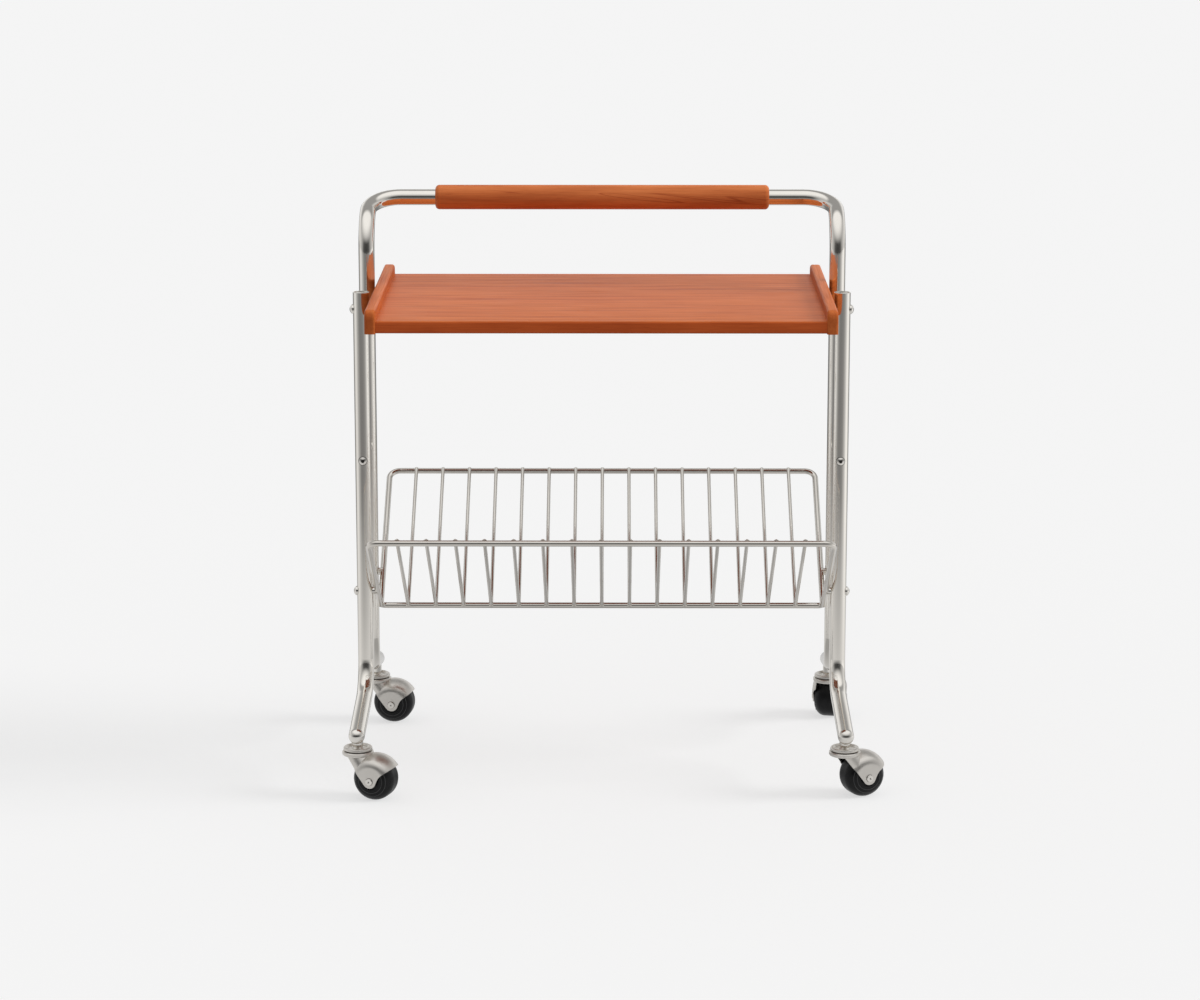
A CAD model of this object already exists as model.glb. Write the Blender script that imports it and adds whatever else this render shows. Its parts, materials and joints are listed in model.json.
import json
import math

import bmesh
import bpy
from mathutils import Matrix, Vector

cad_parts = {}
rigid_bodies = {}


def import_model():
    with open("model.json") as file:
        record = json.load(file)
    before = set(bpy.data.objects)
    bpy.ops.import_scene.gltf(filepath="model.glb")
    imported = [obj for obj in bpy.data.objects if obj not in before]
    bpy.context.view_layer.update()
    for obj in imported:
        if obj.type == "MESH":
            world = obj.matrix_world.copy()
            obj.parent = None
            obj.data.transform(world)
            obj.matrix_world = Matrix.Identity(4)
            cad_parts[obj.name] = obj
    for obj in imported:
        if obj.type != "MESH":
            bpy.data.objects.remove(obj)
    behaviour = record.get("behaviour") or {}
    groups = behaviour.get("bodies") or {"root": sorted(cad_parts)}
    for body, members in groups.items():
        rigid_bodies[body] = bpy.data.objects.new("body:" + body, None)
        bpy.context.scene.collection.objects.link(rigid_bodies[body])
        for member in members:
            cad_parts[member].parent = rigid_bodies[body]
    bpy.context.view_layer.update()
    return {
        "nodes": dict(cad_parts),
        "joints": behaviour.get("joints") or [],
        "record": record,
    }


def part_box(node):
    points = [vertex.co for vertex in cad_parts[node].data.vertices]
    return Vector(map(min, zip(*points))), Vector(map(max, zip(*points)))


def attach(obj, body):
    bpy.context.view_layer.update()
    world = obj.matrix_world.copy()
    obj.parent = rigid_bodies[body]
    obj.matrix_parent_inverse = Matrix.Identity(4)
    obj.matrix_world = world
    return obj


# Bar cart dressed for its picture: a material for every CAD node, weld beads, wheel ridges,
# dark seams round screws and rivets, floor, light and camera.
# Metres, in the frame of the CAD model.


def grey(value):
    return (value, value, value, 1)


# Camera, fitted to the photograph
IMAGE_W = 1200
FOCAL_PX = 3500
SENSOR_W = 36.0                     # millimetres
CAMERA_DISTANCE = 4.0789
CAMERA_HEIGHT = 1.1974
CAMERA_ORBIT_DEG = 0.2
CAMERA_AIM_DEG = 0.03
CAMERA_PITCH_DEG = 12.17

# Floor as the camera sees it
FLOOR_HALF = 60.0
FLOOR_LEVEL = 0.913
FLOOR_LIT = 0.70                    # light that reaches the floor away from the cart
SHADOW_SHARE = 0.33                 # part of the floor's brightness that shadows can take away

# Lamps: azimuths count from +X towards +Y, so one below zero is towards the camera
KEY_AZIMUTH_DEG = -3.0
KEY_ELEVATION_DEG = 27.0
KEY_STRENGTH = 1.7
KEY_SPREAD_DEG = 26.0
TOP_AZIMUTH_DEG = 90.0
TOP_ELEVATION_DEG = 80.0
TOP_STRENGTH = 1.02
TOP_SPREAD_DEG = 84.0

# Light of the room on wood and plastic
ROOM_LIGHT = grey(0.45)
FLOOR_BOUNCE = grey(0.40)

# Studio as metal mirrors it; the ramps run from 0 towards the camera to 1 behind the cart
FLOOR_AROUND = ((0.0, grey(0.24)), (0.06, grey(0.27)), (0.15, grey(0.40)), (0.28, grey(0.66)),
                (0.42, grey(1.0)), (0.60, grey(1.0)), (0.70, grey(0.66)), (0.80, grey(0.32)),
                (1.0, grey(0.20)))
FLOOR_LEFT_RIGHT = ((0.0, grey(0.80)), (1.0, grey(1.0)))
FLOOR_SIDE_END = 0.5                # sine of the heading where the left-right ramp ends
FLOOR_BESIDE = grey(0.70)
FLOOR_NEAR = 0.3                    # distances between which the floor around takes over
FLOOR_FAR = 1.7
FLOOR_UNDER = grey(0.36)            # in the cart's own shade
UNDER_FULL = 0.14
UNDER_END = 0.40
WALLS = ((0.0, grey(0.05)), (0.10, grey(0.09)), (0.24, grey(0.34)), (0.42, grey(0.56)),
         (0.60, grey(0.68)), (1.0, grey(0.90)))
COVE = grey(0.34)                   # dim band between walls and ceiling
COVE_FROM = 0.30                    # sines of the elevation
COVE_FULL = 0.56
CEILING = grey(0.97)
CEILING_FROM = 0.33
CEILING_FULL = 0.92
CEILING_BACK = 0.24                 # how far the ceiling reaches behind the cart before it fades
CEILING_BACK_END = 0.44

# Metal: faint clouds and a fine drawn surface
CLOUD_STRETCH = (1, 1, 0.5)
CLOUD_DETAIL = 4.0
FINE_STRETCH = (1, 1, 0.3)
FINE_PER_CLOUD = 14
FINE_DETAIL = 5.0
NICKEL_STOPS = (0.3, 0.7)
NICKEL_DEPTH = 0.0004

# Wood: layers of noise, each squeezed along and across the grain, with its scale and detail
BROAD = (0.9, 14, 1.6, 3.0)
STREAKS = (3.0, 36, 2.2, 6.0)
FIBRES = (9, 420, 2.0, 4.0)
PORES = (22, 800, 2.4, 2.0)
VEINS = (2.0, 70, 1.5, 1.0)
STREAK_STOPS = (0.25, 0.5, 0.78)
FIGURE_TINTS = ((0.35, (0.86, 0.74, 0.66, 1)), (0.5, grey(1.0)), (0.68, (0.97, 0.98, 0.98, 1)))
FIBRE_TINTS = ((0.3, (0.84, 0.76, 0.70, 1)), (0.62, grey(1.08)))
PORE_TINTS = ((0.30, (0.74, 0.60, 0.52, 1)), (0.40, grey(1.0)))
VEIN_TINTS = ((0.655, grey(1.0)), (0.675, (0.62, 0.42, 0.36, 1)), (0.695, grey(1.0)))
LAYER_SHARE = 0.6
VEIN_SHARE = 0.8
FACE_STOPS = (0.0, 0.22, 0.78, 0.93)    # 0 faces down, 1 up: underside, edges from and to, top
WOOD_GLOSS = ((0.3, grey(0.50)), (0.7, grey(0.38)))
WOOD_SPECULAR = 0.10
WOOD_BUMP = 0.10
WOOD_DEPTH = 0.0005
WOOD_TONES = ((0.44, 0.096, 0.023, 1), (0.575, 0.144, 0.034, 1), (0.68, 0.190, 0.050, 1))
GRIP_TONES = ((0.48, 0.118, 0.034, 1), (0.66, 0.188, 0.056, 1), (0.78, 0.250, 0.082, 1))
DOWEL_TONES = ((0.50, 0.34, 0.18, 1), (0.60, 0.42, 0.24, 1), (0.68, 0.50, 0.30, 1))
BOARD_CUT_FACES = ((1.0, 0.73, 0.67, 1), (0.62, 0.56, 0.56, 1))
SIDE_CUT_FACES = ((0.90, 0.84, 0.82, 1), (0.62, 0.58, 0.57, 1))
GRIP_VEIN_SLANT = (0, math.radians(-7), 0)
ALONG_X = 0
ALONG_Y = 1

# Plastic
MOTTLE_SCALE = 160.0
MOTTLE_DETAIL = 4.0
MOTTLE_STOPS = (0.35, 0.7)
SCUFF_SCALE = 45.0
SCUFF_DETAIL = 5.0
SCUFF_STOPS = (0.35, 0.65)
PLASTIC_BUMP = 0.05
PLASTIC_DEPTH = 0.0003
WHEEL_SPECULAR = 0.22

# Sizes shared with the solids
RAIL_R = 0.0035
WIRE_COUNT = 15
WHEEL_R = 0.025
WHEEL_HALF_W = 0.0175
SHOULDER_R = 0.013
TUBE_R = 0.0095
SCREW_HEAD_R = 0.0046
SCREW_HEAD_PROUD = 0.0022
SCREW_HEX_R = 0.0022                # to the corners, just inside the socket's walls
SCREW_HEX_SIDES = 6
SCREW_HEX_DEPTH = 0.0020
RIVET_DIMPLE_DEPTH = 0.00075
RIVET_HEAD_R = 0.0042
RIVET_HEAD_T = 0.0015

# Small pieces that the solids leave out; a bead's size is across, along and out
WELD_SIZE = (0.0030, 0.0024, 0.0012)
BUTT_WELD_SIZE = (0.0029, 0.0027, 0.0016)
RIVET_EYE_SIZE = (0.0013, 0.0013, 0.00035)
BEAD_DETAIL = 3
RING_SEGMENTS = 96
RING_SIDES = 10
RIDGE_RADII = (0.0145, 0.0185)
RIDGE_WIRE = 0.00045
SCREW_RING_R = 0.0050
SCREW_RING_WIRE = 0.0004
SOCKET_FLOOR_T = 0.0004
RIVET_RING_WIRE = 0.0003
SMOOTH_ANGLE_DEG = 32.0

# Sockets of a Mix node for colours
MIX_FACTOR, MIX_FIRST, MIX_SECOND = 0, 6, 7
MIX_RESULT = 2

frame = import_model()


# Node helpers

def new_node(tree, kind, inputs=None, **settings):
    """Shader node with its settings, and with each input set to a value or linked to a socket."""
    made = tree.nodes.new("ShaderNode" + kind)
    for key, value in settings.items():
        setattr(made, key, value)
    for key, value in (inputs or {}).items():
        if isinstance(value, bpy.types.NodeSocket):
            tree.links.new(value, made.inputs[key])
        else:
            made.inputs[key].default_value = value
    return made


def mapped(tree, value, low, high, **settings):
    """Value carried from the range low to high into 0 to 1."""
    limits = {"Value": value, "From Min": low, "From Max": high}
    return new_node(tree, "MapRange", limits, **settings).outputs["Result"]


def ramp(tree, factor, stops):
    """Colour ramp through (position, colour) stops."""
    made = new_node(tree, "ValToRGB", {"Fac": factor})
    elements = made.color_ramp.elements
    elements[0].position = stops[0][0]
    elements[1].position = stops[-1][0]
    for place, _ in stops[1:-1]:
        elements.new(place)
    for element, (_, color) in zip(elements, stops):
        element.color = color
    return made.outputs["Color"]


def mixed(tree, factor, first, second, blend="MIX"):
    made = new_node(tree, "Mix", data_type="RGBA", blend_type=blend)
    for index, value in ((MIX_FACTOR, factor), (MIX_FIRST, first), (MIX_SECOND, second)):
        if isinstance(value, bpy.types.NodeSocket):
            tree.links.new(value, made.inputs[index])
        else:
            made.inputs[index].default_value = value
    return made.outputs[MIX_RESULT]


def object_noise(tree, stretch, scale, detail, shift=(0, 0, 0), slant=(0, 0, 0)):
    """Noise in the part's own frame, drawn out along some axes, the draw slanted if asked."""
    place = new_node(tree, "TexCoord").outputs["Object"]
    turned = new_node(tree, "Mapping", {"Vector": place, "Rotation": slant}).outputs["Vector"]
    drawn = new_node(tree, "Mapping", {"Vector": turned, "Scale": stretch, "Location": shift})
    noise = new_node(tree, "TexNoise", {"Vector": drawn.outputs["Vector"], "Scale": scale,
                                        "Detail": detail})
    return noise.outputs["Fac"]


def bump(tree, height, strength, distance):
    made = new_node(tree, "Bump", {"Height": height, "Strength": strength, "Distance": distance})
    return made.outputs["Normal"]


def new_material(name):
    material = bpy.data.materials.new(name)
    material.use_nodes = True
    tree = material.node_tree
    return material, tree, tree.nodes["Principled BSDF"]


# Materials

def nickel(name, tone, dull, rough_low, rough_high, cloud=22.0, grain=0.04):
    """Plated metal: faint clouds in tone and gloss, and a fine drawn surface."""
    material, tree, shader = new_material(name)
    low, high = NICKEL_STOPS
    clouds = object_noise(tree, CLOUD_STRETCH, cloud, CLOUD_DETAIL)
    tree.links.new(ramp(tree, clouds, ((low, dull), (high, tone))), shader.inputs["Base Color"])
    fine = object_noise(tree, FINE_STRETCH, cloud * FINE_PER_CLOUD, FINE_DETAIL)
    gloss = ramp(tree, fine, ((low, grey(rough_low)), (high, grey(rough_high))))
    tree.links.new(gloss, shader.inputs["Roughness"])
    shader.inputs["Metallic"].default_value = 1.0
    tree.links.new(bump(tree, fine, grain, NICKEL_DEPTH), shader.inputs["Normal"])
    return material


def wood(name, along, shift, tones, cut_faces=None, vein_slant=None):
    """Lacquered wood with straight streaks, darker figure lines and fine pores along one axis.

    A board's cut faces give its (edge, underside) tints; a slant adds a few dark veins across
    the grain.
    """
    material, tree, shader = new_material(name)

    def layer(lengthwise, across, scale, detail, slant=(0, 0, 0)):
        stretch = tuple(lengthwise if axis == along else across for axis in range(3))
        return object_noise(tree, stretch, scale, detail, shift, slant)

    fibres = layer(*FIBRES)
    body = ramp(tree, layer(*STREAKS), tuple(zip(STREAK_STOPS, tones)))
    for noise, tints in ((layer(*BROAD), FIGURE_TINTS), (fibres, FIBRE_TINTS),
                         (layer(*PORES), PORE_TINTS)):
        body = mixed(tree, LAYER_SHARE, body, ramp(tree, noise, tints), "MULTIPLY")
    if vein_slant:
        lines = ramp(tree, layer(*VEINS, vein_slant), VEIN_TINTS)
        body = mixed(tree, VEIN_SHARE, body, lines, "MULTIPLY")
    if cut_faces:
        edge, underside = cut_faces
        normal = new_node(tree, "TexCoord").outputs["Normal"]
        upward = new_node(tree, "SeparateXYZ", {"Vector": normal}).outputs["Z"]
        tints = tuple(zip(FACE_STOPS, (underside, edge, edge, grey(1.0))))
        tint = ramp(tree, mapped(tree, upward, -1.0, 1.0), tints)
        body = mixed(tree, 1.0, body, tint, "MULTIPLY")
    tree.links.new(body, shader.inputs["Base Color"])
    tree.links.new(ramp(tree, fibres, WOOD_GLOSS), shader.inputs["Roughness"])
    shader.inputs["Specular IOR Level"].default_value = WOOD_SPECULAR
    tree.links.new(bump(tree, fibres, WOOD_BUMP, WOOD_DEPTH), shader.inputs["Normal"])
    return material


def plastic(name, dark, light, rough_low, rough_high):
    """Moulded plastic: a fine mottled surface with scuffed gloss."""
    material, tree, shader = new_material(name)
    mottle = object_noise(tree, (1, 1, 1), MOTTLE_SCALE, MOTTLE_DETAIL)
    tone = ramp(tree, mottle, tuple(zip(MOTTLE_STOPS, (dark, light))))
    tree.links.new(tone, shader.inputs["Base Color"])
    scuff = object_noise(tree, (1, 1, 1), SCUFF_SCALE, SCUFF_DETAIL)
    gloss = ramp(tree, scuff, tuple(zip(SCUFF_STOPS, (grey(rough_low), grey(rough_high)))))
    tree.links.new(gloss, shader.inputs["Roughness"])
    tree.links.new(bump(tree, mottle, PLASTIC_BUMP, PLASTIC_DEPTH), shader.inputs["Normal"])
    return material


tube_nickel = nickel("tube_nickel", (0.90, 0.865, 0.805, 1), (0.85, 0.815, 0.76, 1), 0.07, 0.12)
wire_nickel = nickel("wire_nickel", (0.78, 0.745, 0.69, 1), (0.72, 0.685, 0.635, 1), 0.08, 0.13)
hood_nickel = nickel("hood_nickel", (0.76, 0.73, 0.685, 1), (0.72, 0.69, 0.645, 1), 0.32, 0.40,
                     60.0, 0.012)
bright_nickel = nickel("bright_nickel", (0.88, 0.85, 0.80, 1), (0.80, 0.77, 0.725, 1),
                       0.07, 0.13, 60.0)
steel = nickel("steel", (0.60, 0.60, 0.60, 1), (0.52, 0.52, 0.52, 1), 0.15, 0.25, 60.0)
brass = nickel("brass", (0.72, 0.52, 0.22, 1), (0.62, 0.44, 0.18, 1), 0.2, 0.3, 60.0)
board_wood = wood("board_wood", ALONG_X, (0.3, 0.1, 0.2), WOOD_TONES, BOARD_CUT_FACES)
side_wood = wood("side_wood", ALONG_Y, (0.7, 0.4, 0.1), WOOD_TONES, SIDE_CUT_FACES)
grip_wood = wood("grip_wood", ALONG_X, (1.3, 0.8, 0.5), GRIP_TONES, vein_slant=GRIP_VEIN_SLANT)
dowel_wood = wood("dowel_wood", ALONG_X, (2.1, 0.3, 0.9), DOWEL_TONES)
wheel_black = plastic("wheel_black", (0.006, 0.006, 0.0065, 1), (0.012, 0.012, 0.0125, 1),
                      0.26, 0.40)
wheel_shader = wheel_black.node_tree.nodes["Principled BSDF"]
wheel_shader.inputs["Specular IOR Level"].default_value = WHEEL_SPECULAR
ridge_black = plastic("ridge_black", (0.030, 0.030, 0.031, 1), (0.045, 0.045, 0.046, 1),
                      0.30, 0.45)
collar_black = plastic("collar_black", (0.02, 0.018, 0.017, 1), (0.035, 0.032, 0.03, 1), 0.4, 0.6)

SLOT_MATERIAL = {"tube": tube_nickel, "rack_wire": wire_nickel, "hardware": bright_nickel,
                 "hood": hood_nickel, "dowel": dowel_wood, "insert": brass,
                 "spacer": collar_black, "ball": steel, "wheel": wheel_black,
                 "bush": collar_black}
WOOD_NODES = {"tray_board": board_wood, "tray_side_left": side_wood,
              "tray_side_right": side_wood, "handle_grip": grip_wood}


def dress(obj, material):
    obj.data.materials.clear()
    obj.data.materials.append(material)


def smooth(mesh):
    mesh.shade_smooth()
    mesh.set_sharp_from_angle(angle=math.radians(SMOOTH_ANGLE_DEG))


for entry in frame["record"]["subparts"]:
    solid = frame["nodes"][entry["node"]]
    dress(solid, WOOD_NODES.get(entry["node"]) or SLOT_MATERIAL[entry["material_slot"]])
    smooth(solid.data)


# Small pieces

def add_piece(name, shape, material, body):
    mesh = bpy.data.meshes.new(name)
    shape.to_mesh(mesh)
    shape.free()
    smooth(mesh)
    piece = bpy.data.objects.new(name, mesh)
    bpy.context.scene.collection.objects.link(piece)
    dress(piece, material)
    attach(piece, body)


def ring(shape, centre, axis, radius, wire, tube_r=None):
    """Closed ring of round wire about an axis; on a tube along Z it follows the tube's round."""
    turn = Vector((0, 0, 1)).rotation_difference(axis).to_matrix()
    rows = []
    for step in range(RING_SEGMENTS):
        angle = 2 * math.pi * step / RING_SEGMENTS
        out = Vector((math.cos(angle), math.sin(angle), 0))
        across = (turn @ out).x * radius
        sink = tube_r - math.sqrt(tube_r ** 2 - across ** 2) if tube_r else 0
        row = []
        for side in range(RING_SIDES):
            tilt = 2 * math.pi * side / RING_SIDES
            lift = Vector((0, 0, wire * math.sin(tilt) - sink))
            local = out * (radius + wire * math.cos(tilt)) + lift
            row.append(shape.verts.new(centre + turn @ local))
        rows.append(row)
    for step in range(RING_SEGMENTS):
        here = rows[step]
        after = rows[(step + 1) % RING_SEGMENTS]
        for side in range(RING_SIDES):
            following = (side + 1) % RING_SIDES
            shape.faces.new((here[side], after[side], after[following], here[following]))


def bead(shape, place, normal, along, size):
    """Flattened blob: its second axis along the given direction, its last along the normal."""
    axes = Matrix((along.cross(normal), along, normal)).transposed().to_4x4()
    spot = Matrix.Translation(place) @ axes @ Matrix.Diagonal((*size, 1))
    bmesh.ops.create_icosphere(shape, subdivisions=BEAD_DETAIL, radius=1, matrix=spot)


def wheels():
    """Corner, middle, axle direction, swivel body and wheel body of each caster."""
    for joint in frame["joints"]:
        if joint["name"].endswith("_roll"):
            yield (joint["name"].removesuffix("_roll"), Vector(joint["pos_m"]),
                   Vector(joint["axis"]), joint["parent"], joint["child"])


def rack_welds():
    """Weld beads where each cross wire lies on its top rail and meets the bottom rail."""
    low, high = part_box("rack_front_loop")
    end_x = high.x - RAIL_R
    rail = Vector((0, low.y + RAIL_R, high.z - RAIL_R))
    bottom = Vector((0, 0, low.z + RAIL_R))
    pitch = 2 * end_x / (WIRE_COUNT + 1)
    beads = bmesh.new()
    for end in (1, -1):
        top = Vector((0, end * rail.y, rail.z))
        along = (top - bottom).normalized()
        inward = Vector((0, along.z, -along.y)) * end
        for index in range(WIRE_COUNT):
            across = Vector(((index + 1) * pitch - end_x, 0, 0))
            bead(beads, top + across + inward * RAIL_R, inward, along, WELD_SIZE)
            bead(beads, bottom + across + along * RAIL_R, along, inward, BUTT_WELD_SIZE)
    add_piece("rack_welds", beads, wire_nickel, "frame")


def wheel_ridges():
    """Moulded rings on both sides of each wheel."""
    for corner, centre, axle, _, wheel_body in wheels():
        rings = bmesh.new()
        for radius in RIDGE_RADII:
            inside = radius - (WHEEL_R - SHOULDER_R)
            face = WHEEL_HALF_W - SHOULDER_R + math.sqrt(SHOULDER_R ** 2 - inside ** 2)
            for side in (-1, 1):
                ring(rings, centre + axle * face * side, axle, radius, RIDGE_WIRE)
        add_piece("wheel_ridges_" + corner, rings, ridge_black, wheel_body)


def tie_screw_shadows():
    """Dark seam round each screw head of the leg ties, and the dark floor of its socket."""
    low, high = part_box("tie_screws")
    x = high.x - SCREW_HEAD_R
    floor_middle = SCREW_HEAD_PROUD - SCREW_HEX_DEPTH + SOCKET_FLOOR_T / 2
    marks = bmesh.new()
    for side in (-1, 1):
        for end in (-1, 1):
            outward = Vector((0, end, 0))
            seat = Vector((side * x, end * (high.y - SCREW_HEAD_PROUD), (low.z + high.z) / 2))
            ring(marks, seat, outward, SCREW_RING_R, SCREW_RING_WIRE, TUBE_R)
            place = Matrix.Translation(seat + outward * floor_middle)
            bmesh.ops.create_cone(marks, cap_ends=True, segments=SCREW_HEX_SIDES,
                                  radius1=SCREW_HEX_R, radius2=SCREW_HEX_R, depth=SOCKET_FLOOR_T,
                                  matrix=place @ Matrix.Rotation(math.pi / 2, 4, "X"))
    add_piece("tie_screw_shadows", marks, collar_black, "frame")


def rivet_shadows():
    """Dark middle of the dimple in both heads of each axle rivet, and the seam round each head."""
    for corner, centre, axle, swivel_body, _ in wheels():
        rivet = frame["nodes"]["caster_" + corner + "_axle"]
        reach = max((vertex.co - centre).dot(axle) for vertex in rivet.data.vertices)
        marks = bmesh.new()
        for side in (-1, 1):
            out = axle * side
            dimple = centre + out * (reach - RIVET_DIMPLE_DEPTH)
            bead(marks, dimple, out, Vector((0, 0, 1)), RIVET_EYE_SIZE)
            seam = centre + out * (reach - RIVET_HEAD_T)
            ring(marks, seam, out, RIVET_HEAD_R, RIVET_RING_WIRE)
        add_piece("rivet_shadows_" + corner, marks, collar_black, swivel_body)


rack_welds()
wheel_ridges()
tie_screw_shadows()
rivet_shadows()


# Floor, light and camera

def studio_floor(tree):
    """Floor as metal mirrors it: pale beside the cart, dim under it, behind it and in front."""
    place = new_node(tree, "NewGeometry").outputs["Position"]
    distance = new_node(tree, "VectorMath", {0: place}, operation="LENGTH").outputs["Value"]
    heading = new_node(tree, "VectorMath", {0: place}, operation="NORMALIZE").outputs["Vector"]
    parts = new_node(tree, "SeparateXYZ", {"Vector": heading})
    far = ramp(tree, mapped(tree, parts.outputs["Y"], -1.0, 1.0), FLOOR_AROUND)
    side = mapped(tree, parts.outputs["X"], -FLOOR_SIDE_END, FLOOR_SIDE_END)
    far = mixed(tree, 1.0, far, ramp(tree, side, FLOOR_LEFT_RIGHT), "MULTIPLY")
    shade = mapped(tree, distance, UNDER_FULL, UNDER_END)
    near = mixed(tree, shade, FLOOR_UNDER, FLOOR_BESIDE)
    return mixed(tree, mapped(tree, distance, FLOOR_NEAR, FLOOR_FAR), near, far)


def floor():
    """Pale plane: the camera sees it lit in part, so that it keeps soft shadows."""
    mesh = bpy.data.meshes.new("floor")
    half = FLOOR_HALF
    corners = [(-half, -half, 0), (half, -half, 0), (half, half, 0), (-half, half, 0)]
    mesh.from_pydata(corners, [], [(0, 1, 2, 3)])
    plane = bpy.data.objects.new("floor", mesh)
    bpy.context.scene.collection.objects.link(plane)
    material, tree, shader = new_material("floor")
    path = new_node(tree, "LightPath")
    seen = path.outputs["Is Camera Ray"]
    lit = mixed(tree, seen, grey(0), grey(FLOOR_LEVEL * SHADOW_SHARE / FLOOR_LIT))
    tree.links.new(lit, shader.inputs["Base Color"])
    glow = mixed(tree, path.outputs["Is Glossy Ray"], FLOOR_BOUNCE, studio_floor(tree))
    glow = mixed(tree, seen, glow, grey(FLOOR_LEVEL * (1 - SHADOW_SHARE)))
    tree.links.new(glow, shader.inputs["Emission Color"])
    shader.inputs["Emission Strength"].default_value = 1.0
    shader.inputs["Roughness"].default_value = 1.0
    shader.inputs["Specular IOR Level"].default_value = 0.0
    material.cycles.emission_sampling = "NONE"
    dress(plane, material)
    return plane


def sun(name, azimuth_deg, elevation_deg, strength, spread_deg):
    """Soft sun that metal doesn't mirror, with the azimuth and elevation its light comes from."""
    data = bpy.data.lights.new(name, "SUN")
    data.energy = strength
    data.angle = math.radians(spread_deg)
    lamp = bpy.data.objects.new(name, data)
    azimuth = math.radians(azimuth_deg)
    elevation = math.radians(elevation_deg)
    source = Vector((math.cos(azimuth) * math.cos(elevation),
                     math.sin(azimuth) * math.cos(elevation), math.sin(elevation)))
    lamp.rotation_euler = source.to_track_quat("Z", "Y").to_euler()
    lamp.visible_glossy = False
    bpy.context.scene.collection.objects.link(lamp)
    return lamp


def spare(lamp, obj):
    """Keep a lamp's light off one object."""
    spared = bpy.data.collections.new(lamp.name + "_spares")
    spared.objects.link(obj)
    spared.collection_objects[0].light_linking.link_state = "EXCLUDE"
    lamp.light_linking.receiver_collection = spared


def studio():
    """Even room light; as metal mirrors it, bright sides and ceiling and a dark room in front."""
    world = bpy.data.worlds.new("studio")
    bpy.context.scene.world = world
    world.use_nodes = True
    tree = world.node_tree
    direction = new_node(tree, "TexCoord").outputs["Generated"]
    parts = new_node(tree, "SeparateXYZ", {"Vector": direction})
    back, up = parts.outputs["Y"], parts.outputs["Z"]
    walls = ramp(tree, mapped(tree, back, -1.0, 1.0), WALLS)
    ceiling = mapped(tree, up, CEILING_FROM, CEILING_FULL, interpolation_type="SMOOTHSTEP")
    reach = mapped(tree, back, CEILING_BACK_END, CEILING_BACK)
    overhead = new_node(tree, "Math", {0: ceiling, 1: reach}, operation="MULTIPLY")
    mirrored = mixed(tree, mapped(tree, up, COVE_FROM, COVE_FULL), walls, COVE)
    mirrored = mixed(tree, overhead.outputs["Value"], mirrored, CEILING)
    path = new_node(tree, "LightPath")
    color = mixed(tree, path.outputs["Is Glossy Ray"], ROOM_LIGHT, mirrored)
    color = mixed(tree, path.outputs["Is Camera Ray"], color, grey(FLOOR_LEVEL))
    tree.links.new(color, tree.nodes["Background"].inputs["Color"])


def camera():
    data = bpy.data.cameras.new("camera")
    data.sensor_width = SENSOR_W
    data.lens = SENSOR_W * FOCAL_PX / IMAGE_W
    data.clip_end = 4 * FLOOR_HALF
    eye = bpy.data.objects.new("camera", data)
    orbit = math.radians(CAMERA_ORBIT_DEG)
    eye.location = (CAMERA_DISTANCE * math.sin(orbit), -CAMERA_DISTANCE * math.cos(orbit),
                    CAMERA_HEIGHT)
    eye.rotation_euler = (math.radians(90 - CAMERA_PITCH_DEG), 0,
                          math.radians(CAMERA_ORBIT_DEG + CAMERA_AIM_DEG))
    bpy.context.scene.collection.objects.link(eye)
    bpy.context.scene.camera = eye


plane = floor()
studio()
sun("key", KEY_AZIMUTH_DEG, KEY_ELEVATION_DEG, KEY_STRENGTH, KEY_SPREAD_DEG)
top = sun("top", TOP_AZIMUTH_DEG, TOP_ELEVATION_DEG, TOP_STRENGTH, TOP_SPREAD_DEG)
spare(top, plane)
camera()
bpy.context.scene.view_settings.view_transform = "Standard"
